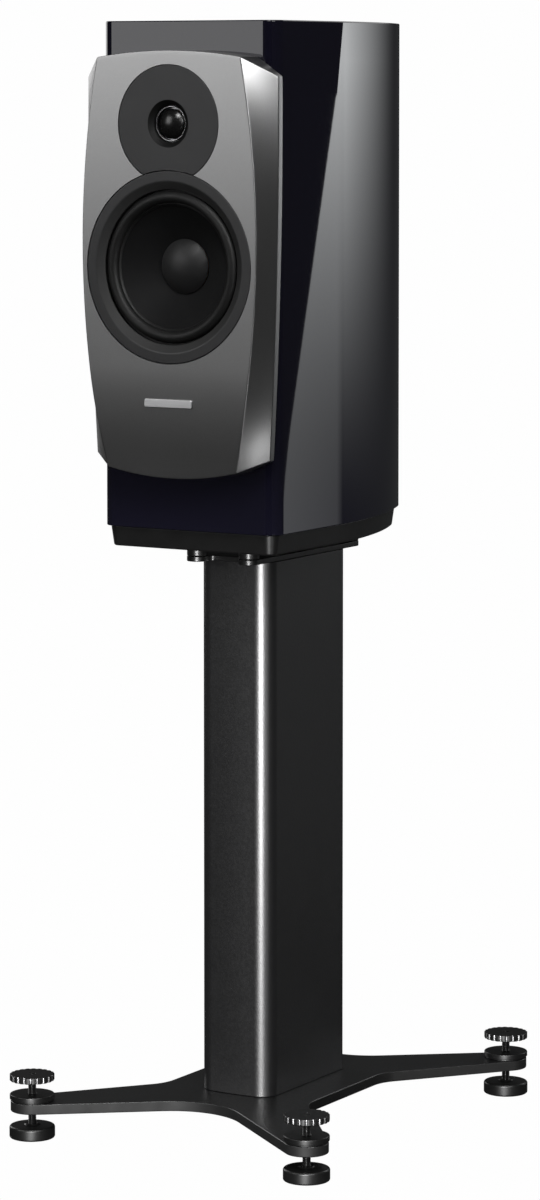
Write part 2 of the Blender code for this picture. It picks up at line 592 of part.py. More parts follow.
# ---- Tweeter ----
def make_tweeter():
    tweeter = group("tweeter", (0, BAFFLE_FRONT, TWEETER_Z))
    axis = {"parent": tweeter, "rotation": FACE_FORWARD}
    face = [(0.0205, 0), (0.0543, 0), (0.0547, -0.0004), (0.0547, -0.0050), (0.0172, -0.0050), (0.0185, -0.0015)]
    plate = turned("tweeter_faceplate", face, DARK_GREY, LARGE_ROUND, **axis)
    notch = [(0, 0.02), (WOOFER_RADIUS + 2 * GAP, 0.02), (WOOFER_RADIUS + 2 * GAP, -0.03), (0, -0.03)]
    place = {"location": (0, BAFFLE_FRONT, WOOFER_Z), "rotation": FACE_FORWARD}
    boolean(plate, turned("faceplate_notch", notch, None, 64, **place))

    ring = [(0.0153, -0.0056), (0.0160, -0.0050), (0.0166, -0.0056), (0.0166, -0.0072), (0.0153, -0.0072)]
    turned("tweeter_ring", ring, BRIGHT, ROUND, **axis)

    radius, rise, low = 0.0140, 0.0062, -0.0072
    bulge = (radius**2 + rise**2) / (2 * rise)
    swing = math.degrees(math.asin(radius / bulge))
    crown = arc(0, low + rise - bulge, bulge, 90, 90 - swing, 4)
    crown[0] = (0, crown[0][1])
    inner = [(r * 0.96, z - 0.0006) for r, z in reversed(crown)]
    turned("tweeter_dome", crown + inner, DOME, ROUND, **axis)

    coil = [(0.0128, -0.0085), (0.0134, -0.0085), (0.0134, -0.0140), (0.0128, -0.0140)]
    turned("tweeter_voice_coil", coil, COPPER, ROUND, **axis)
    motor = [(0.0139, -0.0100), (0.0350, -0.0100), (0.0350, -0.0300), (0.0040, -0.0300), (0.0040, -0.0110)]
    motor += [(0.0123, -0.0110), (0.0123, -0.0200), (0.0139, -0.0200)]
    turned("tweeter_motor", motor, STEEL, ROUND, **axis)
    chamber = [(0, -0.0303), (0.0300, -0.0303), (0.0300, -0.0500), (0.0270, -0.0530), (0, -0.0530)]
    turned("tweeter_rear_chamber", chamber, PLASTIC, ROUND, **axis)


# ---- Electrics ----
def make_terminals():
    corners = [(-0.036, -0.048, 0.006), (0.036, -0.048, 0.006), (0.036, 0.048, 0.006), (-0.036, 0.048, 0.006)]
    holes = [circle(x, 0, 0.0034, SMALL_ROUND) for x in (-POST_X, POST_X)]
    place = {"location": (0, 0, POST_Z), "rotation": FACE_BACKWARD}
    loops = [rounded(corners, 3), *holes]
    prism("terminal_plate", loops, CABINET_BACK + GAP, TERMINAL_FACE, BLACK_SATIN, **place)
    for side, name in ((-1, "left"), (1, "right")):
        post = group("binding_post_" + name, (side * POST_X, TERMINAL_FACE, POST_Z))
        axis = {"parent": post, "rotation": FACE_BACKWARD}
        stud = [(0, 0.0250), (0.0030, 0.0250), (0.0030, 0.0053), (0.0075, 0.0053), (0.0075, GAP)]
        stud += [(0.0030, GAP), (0.0030, -0.0140), (0, -0.0140)]
        turned("post_stud_" + name, stud, BRIGHT, SMALL_ROUND, **axis)
        washer = [(0.0034, 0.0072), (0.0070, 0.0072), (0.0070, 0.0057), (0.0034, 0.0057)]
        turned("post_washer_" + name, washer, BRIGHT, SMALL_ROUND, **axis)
        loops = [circle(0, 0, 0.0085, 12), circle(0, 0, 0.0034, SMALL_ROUND)]
        prism("post_nut_" + name, loops, 0.0076, 0.0216, STEEL, **axis)


def make_crossover():
    board_low, board_face = 0.8100, 0.1150
    box("crossover_board", (-0.032, board_face, board_low), (0.032, board_face + 0.002, 0.9050), BOARD)
    coil = [(0.0070, 0.0180), (0.0170, 0.0180), (0.0170, 0), (0.0070, 0)]
    centre = (-0.012, board_face - GAP, board_low + 0.020)
    turned("crossover_coil", coil, COPPER, ROUND, location=centre, rotation=FACE_FORWARD)
    can = [(0, 0.0300), (0.0100, 0.0300), (0.0100, 0), (0, 0)]
    centre = (0.012, board_face - GAP, board_low + 0.070)
    turned("crossover_capacitor", can, PLASTIC, SMALL_ROUND, location=centre, rotation=FACE_FORWARD)
    start = board_face - 0.006
    woofer_end = (0.0560, -0.1180, WOOFER_Z - 0.030)
    route = [(0.024, start, 0.835), (0.040, 0.070, 0.800), (0.062, -0.020, 0.780), woofer_end]
    tube("woofer_wire", route, WIRE_RADIUS, RUBBER)
    tweeter_end = (0.0180, BAFFLE_FRONT + 0.0560, TWEETER_Z + 0.012)
    route = [(0.026, start, 0.895), (0.028, 0.080, 0.905), (0.024, 0.020, 0.932)]
    route += [(0.022, -0.060, 0.955), tweeter_end]
    tube("tweeter_wire", route, WIRE_RADIUS, RUBBER)


for foot_side in (-1, 1):
    for foot_end in (-1, 1):
        make_foot(foot_side, foot_end)
make_base()
make_column()
make_top_plate()
make_plinth()
make_cabinet()
make_baffle()
make_woofer()
make_tweeter()
make_terminals()
make_crossover()
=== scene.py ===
"""Looks for the loudspeaker on its column stand: finished pieces, materials, camera and light.

Metres, +Z up, the front faces -Y, and the origin is on the floor between the four feet.
"""

import math

import bmesh
import bpy
from mathutils import Matrix, Vector
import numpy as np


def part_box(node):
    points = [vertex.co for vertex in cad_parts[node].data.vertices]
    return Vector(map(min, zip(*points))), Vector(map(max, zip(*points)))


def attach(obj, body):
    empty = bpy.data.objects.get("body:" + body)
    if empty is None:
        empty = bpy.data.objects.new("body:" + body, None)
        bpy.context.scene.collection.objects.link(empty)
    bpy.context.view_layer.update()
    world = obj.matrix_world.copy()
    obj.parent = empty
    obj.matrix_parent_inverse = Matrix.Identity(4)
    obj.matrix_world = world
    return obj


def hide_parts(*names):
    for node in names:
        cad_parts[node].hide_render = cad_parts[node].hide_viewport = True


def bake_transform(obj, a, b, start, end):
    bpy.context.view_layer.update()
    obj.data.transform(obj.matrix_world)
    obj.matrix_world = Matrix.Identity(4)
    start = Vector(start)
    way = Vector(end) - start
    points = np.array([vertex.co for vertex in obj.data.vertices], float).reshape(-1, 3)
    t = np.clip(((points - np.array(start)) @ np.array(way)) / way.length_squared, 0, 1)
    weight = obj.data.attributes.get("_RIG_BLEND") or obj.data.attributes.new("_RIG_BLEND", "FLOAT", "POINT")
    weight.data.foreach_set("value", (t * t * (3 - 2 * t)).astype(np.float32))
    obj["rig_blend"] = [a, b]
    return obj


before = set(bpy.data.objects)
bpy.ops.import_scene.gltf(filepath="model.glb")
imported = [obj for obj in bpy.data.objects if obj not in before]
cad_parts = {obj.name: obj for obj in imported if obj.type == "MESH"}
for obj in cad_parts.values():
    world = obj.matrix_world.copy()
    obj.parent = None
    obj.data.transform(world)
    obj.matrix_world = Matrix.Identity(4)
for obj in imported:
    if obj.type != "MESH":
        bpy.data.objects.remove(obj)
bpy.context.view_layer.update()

ROOT = "cabinet_and_stand"
CORNERS = {
    "front_left": (-0.153, -0.196),
    "front_right": (0.153, -0.196),
    "rear_left": (-0.153, 0.196),
    "rear_right": (0.153, 0.196),
}
FORWARD = (math.radians(90), 0, 0)  # turns local +Z to the front, -Y
BACKWARD = (math.radians(-90), 0, 0)

# The driving sizes, as the CAD has them.
BASE_Z, BASE_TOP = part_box("base_plate")[0].z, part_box("base_plate")[1].z
TOP_PLATE_Z, TOP_PLATE_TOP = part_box("stand_top_plate")[0].z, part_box("stand_top_plate")[1].z
PLINTH_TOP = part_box("plinth")[1].z
PLINTH_Z = 0.5705
CABINET_Z, CABINET_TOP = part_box("cabinet_shell")[0].z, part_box("cabinet_shell")[1].z
CABINET_HALF_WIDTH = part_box("cabinet_shell")[1].x
CABINET_FRONT, CABINET_BACK = -0.1585, 0.1500
SIDE_RADIUS, SIDE_START = 0.4770, -0.0450
BAFFLE_FRONT, FACET_Y, BAFFLE_BACK = -0.1910, -0.1660, -0.1588
WOOFER_Z, TWEETER_Z = 0.8387, 0.9721
LOBE_X, LOBE_Y, LOBE_RADIUS = 0.0290, 0.0940, 0.0100
PORT_RADIUS = 0.0290
BEND_Z, BEND_RADIUS = 0.7450, 0.8000  # the baffle's face curves back below this height
CONE_OUTER, CONE_INNER = 0.0600, 0.0252
SHARP_ANGLE = 32
POST_X, POST_Z, TERMINAL_FACE = 0.0165, 0.6800, 0.1533


# ---- Materials ----
class Nodes:
    """A material's node tree, built by short calls."""

    def __init__(self, name):
        self.material = bpy.data.materials.new(name)
        self.material.use_nodes = True
        self.tree = self.material.node_tree
        self.shader = self.tree.nodes["Principled BSDF"]

    def add(self, kind, settings=None, **inputs):
        made = self.tree.nodes.new("ShaderNode" + kind)
        for key, value in (settings or {}).items():
            setattr(made, key, value)
        for key, value in inputs.items():
            self.feed(made, key.replace("_", " "), value)
        return made

    def feed(self, target, socket, value):
        if isinstance(value, bpy.types.NodeSocket):
            self.tree.links.new(value, target.inputs[socket])
        else:
            target.inputs[socket].default_value = value

    def set(self, **inputs):
        for key, value in inputs.items():
            self.feed(self.shader, key.replace("_", " "), value)

    def place(self):
        return self.add("TexCoord").outputs["Object"]

    def split(self):
        """The outputs X, Y and Z of the place on the piece."""
        return self.add("SeparateXYZ", Vector=self.place()).outputs

    def radius(self, parts):
        """Distance from local Z."""
        flat = self.add("CombineXYZ", X=parts["X"], Y=parts["Y"])
        length = self.add("VectorMath", {"operation": "LENGTH"}, Vector=flat.outputs["Vector"])
        return length.outputs["Value"]

    def noise(self, scale, detail=3.0, vector=None, roughness=0.5):
        vector = vector or self.place()
        made = self.add("TexNoise", Vector=vector, Scale=scale, Detail=detail, Roughness=roughness)
        return made.outputs["Fac"]

    def ramp(self, value, low, high, out_low, out_high):
        made = self.add("MapRange")
        self.feed(made, "Value", value)
        sockets = ("From Min", "From Max", "To Min", "To Max")
        for socket, number in zip(sockets, (low, high, out_low, out_high)):
            self.feed(made, socket, number)
        return made.outputs["Result"]

    def mix(self, value, first, second):
        made = self.add("Mix", {"data_type": "RGBA"})
        self.feed(made, "Factor", value)
        made.inputs["A"].default_value = (*first, 1)
        made.inputs["B"].default_value = (*second, 1)
        return made.outputs["Result"]

    def bump(self, height, distance, strength=1.0, after=None):
        made = self.add("Bump", Height=height, Distance=distance, Strength=strength)
        if after is not None:
            self.feed(made, "Normal", after)
        return made.outputs["Normal"]

    def math(self, operation, first, second=0.0):
        made = self.add("Math", {"operation": operation})
        self.feed(made, 0, first)
        self.feed(made, 1, second)
        return made.outputs["Value"]

    def glow(self, colour, strength):
        """Makes the surface give light."""
        light = self.add("Emission", Color=(*colour, 1), Strength=strength)
        self.tree.links.new(light.outputs["Emission"], self.tree.nodes["Material Output"].inputs["Surface"])


def mottled(name, dark, light, rough, grain, bump, metallic=0.0, scale=9.0, **extra):
    """A coated or moulded surface: slow colour drift, uneven gloss and a fine grain in relief."""
    n = Nodes(name)
    n.set(Base_Color=n.mix(n.ramp(n.noise(scale, 4.0), 0.3, 0.7, 0, 1), dark, light), Metallic=metallic)
    n.set(Roughness=n.ramp(n.noise(scale * 7, 3.0), 0.3, 0.7, rough[0], rough[1]))
    n.set(Normal=n.bump(n.noise(grain, 2.0), bump))
    n.set(**extra)
    return n.material


def lacquer():
    """Midnight-blue piano lacquer: a deep base with fine flake under a clear coat."""
    n = Nodes("midnight_lacquer")
    flake = n.ramp(n.noise(2600, 1.0), 0.55, 0.75, 0, 1)
    n.set(Base_Color=n.mix(flake, (0.0050, 0.0046, 0.0095), (0.0080, 0.0078, 0.0200)))
    n.set(Roughness=n.ramp(n.noise(24), 0.3, 0.7, 0.50, 0.56), Specular_IOR_Level=0.0)
    n.set(Coat_Weight=1.0, Coat_Roughness=0.012, Coat_IOR=1.52)
    n.set(Coat_Normal=n.bump(n.noise(70, 2.0), 0.00000035))
    return n.material


def baffle_paint():
    """Satin metallic grey: aluminium flake in a half-matt clear coat."""
    n = Nodes("satin_grey_metallic")
    flake = n.ramp(n.noise(3200, 1.0), 0.35, 0.65, 0, 1)
    n.set(Base_Color=n.mix(flake, (0.330, 0.330, 0.332), (0.400, 0.400, 0.402)), Metallic=1.0)
    n.set(Roughness=n.ramp(n.noise(6, 3.0), 0.3, 0.7, 0.32, 0.35))
    n.set(Normal=n.bump(n.noise(1900, 2.0), 0.000004))
    return n.material


def powder_coat():
    """Fine-textured satin black powder coat."""
    n = Nodes("black_powder_coat")
    cells = n.add("TexVoronoi", {"feature": "SMOOTH_F1"}, Vector=n.place(), Scale=1150.0, Smoothness=0.7)
    fine = n.bump(cells.outputs["Distance"], 0.000045)
    n.set(Base_Color=n.mix(n.noise(45, 4.0), (0.0034, 0.0034, 0.0036), (0.0056, 0.0056, 0.0059)))
    n.set(Roughness=n.ramp(n.noise(380, 2.0), 0.3, 0.7, 0.32, 0.37), Specular_IOR_Level=0.9)
    n.set(Normal=n.bump(n.noise(420, 3.0), 0.00006, after=fine))
    return n.material


def turned_metal(name, colour, roughness):
    """Machined metal with fine circular tool marks about local Z."""
    n = Nodes(name)
    parts = n.split()
    across = n.math("MULTIPLY", n.radius(parts), 6.0)
    rings = n.add("CombineXYZ", X=across, Y=n.math("MULTIPLY", parts["Z"], 6.0))
    marks = n.noise(900, 2.0, rings.outputs["Vector"])
    n.set(Base_Color=n.mix(n.noise(60), [c * 0.9 for c in colour], colour), Metallic=1.0)
    n.set(Roughness=n.ramp(marks, 0.3, 0.7, roughness, roughness + 0.08))
    n.set(Normal=n.bump(marks, 0.000003))
    return n.material


def cone_polymer(name, specular, rough):
    """Matt black pressed polymer with faint pressing rings about local Z."""
    n = Nodes(name)
    pitch = 0.0011
    rings = n.math("SINE", n.math("MULTIPLY", n.radius(n.split()), 2 * math.pi / pitch))
    fine = n.bump(n.noise(1500, 3.0), 0.00004)
    n.set(Base_Color=n.mix(n.noise(35, 4.0), (0.0050, 0.0050, 0.0053), (0.0080, 0.0080, 0.0084)))
    n.set(Roughness=n.ramp(n.noise(220, 3.0), 0.3, 0.7, rough, rough + 0.08), Specular_IOR_Level=specular)
    n.set(Normal=n.bump(rings, 0.000006, after=fine), Sheen_Weight=0.05, Sheen_Roughness=0.5)
    return n.material


def woven(name, dark, light, pitch, roughness, relief, **extra):
    """Cloth: over-and-under threads from two crossed waves."""
    n = Nodes(name)
    parts = n.split()
    across = n.math("SINE", n.math("MULTIPLY", parts["X"], 2 * math.pi / pitch))
    along = n.math("SINE", n.math("MULTIPLY", parts["Y"], 2 * math.pi / pitch))
    threads = n.math("MULTIPLY", across, along)
    n.set(Base_Color=n.mix(n.ramp(threads, -1, 1, 0, 1), dark, light))
    n.set(Roughness=n.ramp(n.noise(160), 0.3, 0.7, roughness, roughness + 0.08))
    n.set(Normal=n.bump(threads, relief))
    n.set(**extra)
    return n.material


def fibre(name, dark, light, scale):
    """Fibreboard or felt: matted fibres with no direction."""
    n = Nodes(name)
    hairs = n.noise(scale, 6.0, roughness=0.75)
    n.set(Base_Color=n.mix(n.ramp(hairs, 0.3, 0.7, 0, 1), dark, light), Roughness=0.92)
    n.set(Normal=n.bump(hairs, 0.0003))
    return n.material


LACQUER = lacquer()
BAFFLE = baffle_paint()
COAT = powder_coat()
FOOT_COAT = mottled("satin_black_enamel", (0.0035,) * 3, (0.0055,) * 3, (0.30, 0.37), 1500, 0.000008)
PAINT = mottled("satin_black_paint", (0.005,) * 3, (0.007,) * 3, (0.30, 0.36), 1300, 0.000012)
TRIM = mottled(
    "satin_dark_grey", (0.032, 0.032, 0.033), (0.038, 0.038, 0.039), (0.42, 0.48), 1700, 0.00001, 0.25
)
THROAT = mottled(
    "matt_black_throat", (0.002,) * 3, (0.004,) * 3, (0.5, 0.6), 1500, 0.00001, Specular_IOR_Level=0.2
)
# Painted shade: a darker, matter copy of the trim ring's grey for its inner slope, standing in for the shade
# on the slope's side turned from the light.
SLOPE_PAINTED_SHADE = mottled(
    "trim_slope_painted_shade", (0.022,) * 3, (0.026,) * 3, (0.52, 0.60), 1700, 0.00001, Specular_IOR_Level=0.4
)
CONE = cone_polymer("black_cone_polymer", 0.10, 0.50)
CAP = cone_polymer("black_cap_polymer", 0.55, 0.46)
RUBBER = mottled(
    "soft_rubber", (0.0065,) * 3, (0.0100,) * 3, (0.46, 0.56), 900, 0.00002, scale=30.0,
    Specular_IOR_Level=0.35,
)
EDGE = mottled(
    "matt_black_edge", (0.0040,) * 3, (0.0060,) * 3, (0.55, 0.65), 1200, 0.00002, Specular_IOR_Level=0.35
)
BRIGHT = turned_metal("bright_turned_metal", (0.50, 0.50, 0.51), 0.22)
GOLD = turned_metal("gold_plate", (0.80, 0.55, 0.24), 0.16)
MILLED = turned_metal("milled_flutes", (0.72, 0.72, 0.73), 0.20)
STEEL = turned_metal("zinc_plated_steel", (0.46, 0.46, 0.48), 0.30)
DOME = woven(
    "coated_silk", (0.0035,) * 3, (0.0050,) * 3, 0.00045, 0.24, 0.000002, Coat_Weight=0.3, Coat_Roughness=0.2
)
SPIDER = woven("treated_spider_cloth", (0.20, 0.11, 0.035), (0.36, 0.22, 0.08), 0.0007, 0.8, 0.00003)
FERRITE = mottled("ferrite", (0.022, 0.022, 0.024), (0.035, 0.035, 0.038), (0.65, 0.78), 700, 0.00008)
COPPER = turned_metal("enamelled_copper", (0.62, 0.25, 0.11), 0.28)
BOARD = mottled("green_circuit_board", (0.012, 0.05, 0.022), (0.02, 0.075, 0.035), (0.38, 0.5), 600, 0.00002)
PLASTIC = mottled("moulded_black", (0.012,) * 3, (0.017,) * 3, (0.42, 0.55), 1100, 0.00003)
RED = mottled("moulded_red", (0.33, 0.012, 0.010), (0.40, 0.016, 0.013), (0.30, 0.38), 1100, 0.00001)
FELT = fibre("grey_felt", (0.07, 0.07, 0.072), (0.16, 0.16, 0.16), 800)
FIBREBOARD = fibre("fibreboard", (0.20, 0.13, 0.075), (0.33, 0.23, 0.14), 500)


def badge_metal():
    """Aluminium brushed along the bar."""
    n = Nodes("brushed_bar")
    stretch = n.add("Mapping", Vector=n.place(), Scale=(12.0, 900.0, 900.0)).outputs["Vector"]
    lines = n.noise(3.0, 3.0, stretch)
    n.set(Base_Color=n.mix(lines, (0.66, 0.66, 0.67), (0.85, 0.85, 0.86)), Metallic=1.0)
    n.set(Roughness=n.ramp(lines, 0.3, 0.7, 0.28, 0.44), Normal=n.bump(lines, 0.000005))
    return n.material


BADGE = badge_metal()


# ---- Shape helpers ----
def fillet(corners, closed=True):
    """A line of (x, y, radius, steps) corners with each fillet worked out. A plain (x, y) stays sharp."""
    points = []
    last = len(corners) - 1
    for i, corner in enumerate(corners):
        x, y, radius, count = (*corner, 0.0, 1)[:4] if len(corner) < 4 else corner
        ends = not closed and i in (0, last)
        if radius <= 0 or ends:
            points.append((x, y))
            continue
        here = Vector((x, y))
        before = (Vector(corners[i - 1][:2]) - here).normalized()
        after = (Vector(corners[(i + 1) % len(corners)][:2]) - here).normalized()
        half = before.angle(after) / 2
        reach = radius / math.tan(half)
        centre = here + (before + after).normalized() * radius / math.sin(half)
        first = here + before * reach - centre
        turn = first.angle_signed(here + after * reach - centre)
        for k in range(count + 1):
            spoke = first.copy()
            spoke.rotate(Matrix.Rotation(-turn * k / count, 2))
            points.append(tuple(centre + spoke))
    return points


def circle(x, y, radius, count):
    step = 2 * math.pi / count
    return [(x + radius * math.cos(i * step), y + radius * math.sin(i * step)) for i in range(count)]


def rectangle(half_x, half_y, radius, steps):
    """A rounded rectangle about the origin."""
    corners = ((-half_x, -half_y), (half_x, -half_y), (half_x, half_y), (-half_x, half_y))
    return fillet([(x, y, radius, steps) for x, y in corners])


def arc(cx, cy, radius, start, end, count):
    """Points on an arc, with its angles in degrees."""
    angles = [math.radians(start + (end - start) * i / count) for i in range(count + 1)]
    return [(cx + radius * math.cos(a), cy + radius * math.sin(a)) for a in angles]


def mesh_from(name, work):
    mesh = bpy.data.meshes.new(name)
    work.to_mesh(mesh)
    work.free()
    return mesh


def linked(name, data, location=(0, 0, 0), rotation=(0, 0, 0)):
    """An object in the scene for a mesh, light or camera."""
    obj = bpy.data.objects.new(name, data)
    bpy.context.scene.collection.objects.link(obj)
    obj.location = location
    obj.rotation_euler = rotation
    return obj


def piece(
    name, work, materials, body=ROOT, nodes=(), slot=None,
    location=(0, 0, 0), rotation=(0, 0, 0), angle=SHARP_ANGLE,
):
    """A finished piece from a bmesh: smooth with sharp edges over the angle, riding on its body."""
    bmesh.ops.remove_doubles(work, verts=work.verts, dist=0.0000005)
    bmesh.ops.recalc_face_normals(work, faces=work.faces)
    mesh = mesh_from(name, work)
    mesh.shade_smooth()
    mesh.set_sharp_from_angle(angle=math.radians(angle))
    for material in materials if isinstance(materials, (list, tuple)) else [materials]:
        mesh.materials.append(material)
    obj = linked(name, mesh, location, rotation)
    weighted = obj.modifiers.new("even_normals", "WEIGHTED_NORMAL")
    weighted.keep_sharp = True
    weighted.weight = 60
    if body:
        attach(obj, body)
    if nodes:
        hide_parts(*nodes)
    return obj


def cut(obj, cutter, operation="DIFFERENCE"):
    """Applies a Boolean with a temporary object, before the piece's other modifiers."""
    modifier = obj.modifiers.new("cut", "BOOLEAN")
    modifier.operation = operation
    modifier.solver = "EXACT"
    modifier.object = cutter
    obj.modifiers.move(len(obj.modifiers) - 1, 0)
    bpy.context.view_layer.update()
    with bpy.context.temp_override(object=obj, active_object=obj, selected_objects=[obj]):
        bpy.ops.object.modifier_apply(modifier=modifier.name)
    bpy.data.objects.remove(cutter, do_unlink=True)
    obj.data.shade_smooth()
    obj.data.set_sharp_from_angle(angle=math.radians(SHARP_ANGLE))


def join_rings(work, low, high):
    """Faces between two rings of points, either of which may be a single pole."""
    count = max(len(low), len(high))
    if count == 1:
        return
    for k in range(count):
        m = (k + 1) % count
        if len(low) == 1:
            work.faces.new((low[0], high[m], high[k]))
        elif len(high) == 1:
            work.faces.new((low[k], low[m], high[0]))
        else:
            work.faces.new((low[k], low[m], high[m], high[k]))


def lathe_mesh(profile, steps, close=None):
    """A bmesh turned about Z from (radius, height) points; radius 0 makes a pole."""
    work = bmesh.new()
    close = profile[0][0] > 1e-7 and profile[-1][0] > 1e-7 if close is None else close
    rows = []
    for radius, height in profile:
        if radius < 1e-7:
            rows.append([work.verts.new((0, 0, height))])
        else:
            rows.append([work.verts.new((x, y, height)) for x, y in circle(0, 0, radius, steps)])
    if close:
        rows.append(rows[0])
    for low, high in zip(rows, rows[1:]):
        join_rings(work, low, high)
    return work


def lathe(name, corners, materials, steps=128, **rest):
    """A turned piece from a profile with fillets. A profile that starts on the axis ends on it."""
    closed = corners[0][0] > 1e-7
    return piece(name, lathe_mesh(fillet(corners, closed), steps), materials, **rest)


def inset_loop(loop, distance):
    """The loop moved inwards along its own normals; it runs anticlockwise round the material."""
    moved = []
    for i, (x, y) in enumerate(loop):
        before, after = Vector(loop[i - 1]), Vector(loop[(i + 1) % len(loop)])
        here = Vector((x, y))
        a, b = (here - before).normalized(), (after - here).normalized()
        along = (a + b).normalized()
        reach = distance / max(0.35, along.dot(a))
        moved.append((x - along.y * reach, y + along.x * reach))
    return moved


def anticlockwise(loop):
    area = sum(a[0] * b[1] - b[0] * a[1] for a, b in zip(loop, loop[1:] + loop[:1]))
    return loop if area > 0 else loop[::-1]


def slab_mesh(outer, holes, low, high, bevel, hole_bevel=None, segments=4):
    """A plate with rounded rims along its outline and holes."""
    hole_bevel = bevel if hole_bevel is None else hole_bevel
    work = bmesh.new()
    caps = {low: [], high: []}
    for index, loop in enumerate([outer, *holes]):
        loop = anticlockwise(loop)
        size = bevel
        if index:
            loop = loop[::-1]
            size = hole_bevel
        rows = []
        for k in range(segments + 1):
            turn = math.pi / 2 * k / segments
            rows.append((size * (1 - math.sin(turn)), low + size * (1 - math.cos(turn))))
        rows += [(inset, low + high - z) for inset, z in reversed(rows)]
        rings = [[work.verts.new((x, y, z)) for x, y in inset_loop(loop, inset)] for inset, z in rows]
        for first, second in zip(rings, rings[1:]):
            for i in range(len(first)):
                j = (i + 1) % len(first)
                work.faces.new((first[i], first[j], second[j], second[i]))
        for z, ring in ((low, rings[0]), (high, rings[-1])):
            caps[z] += [work.edges.get((ring[i - 1], ring[i])) for i in range(len(ring))]
    for edges in caps.values():
        bmesh.ops.triangle_fill(work, edges=edges, use_beauty=True)
    return work


def loft_mesh(rings):
    """A closed solid through rings of equally many points, with flat ends."""
    work = bmesh.new()
    rows = [[work.verts.new(point) for point in ring] for ring in rings]
    for low, high in zip(rows, rows[1:]):
        join_rings(work, low, high)
    work.faces.new(rows[0][::-1])
    work.faces.new(rows[-1])
    return work


def temporary(work, location=(0, 0, 0), rotation=(0, 0, 0)):
    """A cutter for cut()."""
    bmesh.ops.recalc_face_normals(work, faces=work.faces)
    return linked("cutter", mesh_from("cutter", work), location, rotation)


# ---- Feet ----
def thread_mesh(radius, low, high, pitch, depth, steps=40, per_turn=8):
    """A screw thread about Z between two heights, closed at both ends."""
    work = bmesh.new()
    count = round((high - low) / pitch * per_turn)
    rows = [[work.verts.new((0, 0, low))]]
    for i in range(count + 1):
        z = low + (high - low) * i / count
        fade = min(1.0, (z - low) / pitch, (high - z) / pitch)
        ring = []
        for k in range(steps):
            phase = (z / pitch - k / steps) % 1.0
            dip = depth * (1 - abs(2 * phase - 1)) * fade + depth * 0.5 * (1 - fade)
            angle = 2 * math.pi * k / steps
            reach = radius - dip
            ring.append(work.verts.new((reach * math.cos(angle), reach * math.sin(angle), z)))
        rows.append(ring)
    rows.append([work.verts.new((0, 0, high))])
    for low_row, high_row in zip(rows, rows[1:]):
        join_rings(work, low_row, high_row)
    return work


def wheel_outline(radius, depth, flutes, per_flute=12):
    """A knurled rim: flat-topped lobes between rounded grooves."""
    points = []
    for i in range(flutes * per_flute):
        angle = 2 * math.pi * i / (flutes * per_flute)
        share = (i % per_flute) / per_flute
        groove = max(0.0, math.cos(2 * math.pi * (share - 0.5) * 0.98)) ** 0.8
        r = radius - depth * groove
        points.append((r * math.cos(angle), r * math.sin(angle)))
    return points


def make_foot(name, x, y):
    finish = {"location": (x, y, 0), "slot": "black_coat"}
    pad = [(0, 0.0050), (0.0047, 0.0050, 0.0004, 3), (0.0047, 0.0134, 0.0006, 4)]
    pad += [(0.0068, 0.0134, 0.0008, 4), (0.0076, 0.0123, 0.003, 5)]
    pad += [(0.0219, 0.0118, 0.0022, 10), (0.0219, 0, 0.0018, 8), (0, 0)]
    lathe("foot_pad_disc_" + name, pad, FOOT_COAT, body="pad_" + name, nodes=["foot_pad_" + name], **finish)

    screw = "screw_" + name
    thread = thread_mesh(0.0040, 0.0053, 0.0552, 0.00125, 0.0006)
    piece("foot_thread_" + name, thread, FOOT_COAT, screw, ["foot_spindle_" + name], angle=60, **finish)
    neck = [(0, 0.0612), (0.0014, 0.0612), (0.0018, 0.0607), (0.0030, 0.0610, 0.0004, 3)]
    neck += [(0.0030, 0.0546), (0, 0.0546)]
    lathe("foot_neck_" + name, neck, FOOT_COAT, 48, body=screw, **finish)
    rim = wheel_outline(0.0215, 0.0013, 21)
    wheel = slab_mesh(rim, [circle(0, 0, 0.0032, 40)], 0.0555, 0.0615, 0.0006, 0.0004)
    coats = [FOOT_COAT, MILLED]
    wheel = piece("foot_wheel_rim_" + name, wheel, coats, screw, ["foot_wheel_" + name], **finish)
    for polygon in wheel.data.polygons:
        radius = math.hypot(polygon.center.x, polygon.center.y)
        if 0.0100 < radius < 0.0210 and abs(polygon.normal.z) < 0.5:
            polygon.material_index = 1

    bush = [(0.0046, 0.0424, 0.0005, 4), (0.0215, 0.0424, 0.0010, 6), (0.0215, 0.0376, 0.0004, 4)]
    bush += [(0.0200, 0.0376), (0.0200, 0.0363), (0.0072, 0.0363), (0.0072, 0.0260)]
    bush += [(0.0046, 0.0260, 0.0004, 3)]
    lathe("foot_bush_ring_" + name, bush, FOOT_COAT, nodes=["foot_bush_" + name], **finish)


# ---- Stand ----
def tangent_corner(first, second, centre, radius):
    """Where the lines from two points, each touching the circle's far side from the other, meet."""

    def heading(point, turn):
        to_centre = Vector(centre) - Vector(point)
        angle = math.atan2(to_centre.y, to_centre.x) + turn * math.asin(radius / to_centre.length)
        return Vector((math.cos(angle), math.sin(angle)))

    u, v = heading(first, -1), heading(second, 1)
    reach = (Vector(second) - Vector(first)).cross(v) / u.cross(v)
    return Vector(first) + u * reach


def base_outline():
    front, side, end = (0, -0.1032), (0.0805, -0.0720), 0.0207
    tip = tangent_corner(front, side, CORNERS["front_right"], end)
    front_right = [(*front, 0.069, 24), (tip.x, tip.y, end, 24), (*side, 0.040, 16)]
    rear_right = [(x, -y, r, n) for x, y, r, n in reversed(front_right)]
    left = [(-x, y, r, n) for x, y, r, n in reversed(front_right[1:] + rear_right[:-1])]
    return fillet(front_right + rear_right + left)


def column_outline(inset=0.0):
    w, d, bulge = 0.0400 - inset, 0.0765 - inset, 0.0020
    corner = 0.0170 - inset
    half = [(0, -d - bulge, 0.30, 12), (w, -d, corner, 16), (w, d, corner, 16), (0, d + bulge, 0.30, 12)]
    return fillet(half + [(-w, d, corner, 16), (-w, -d, corner, 16)])


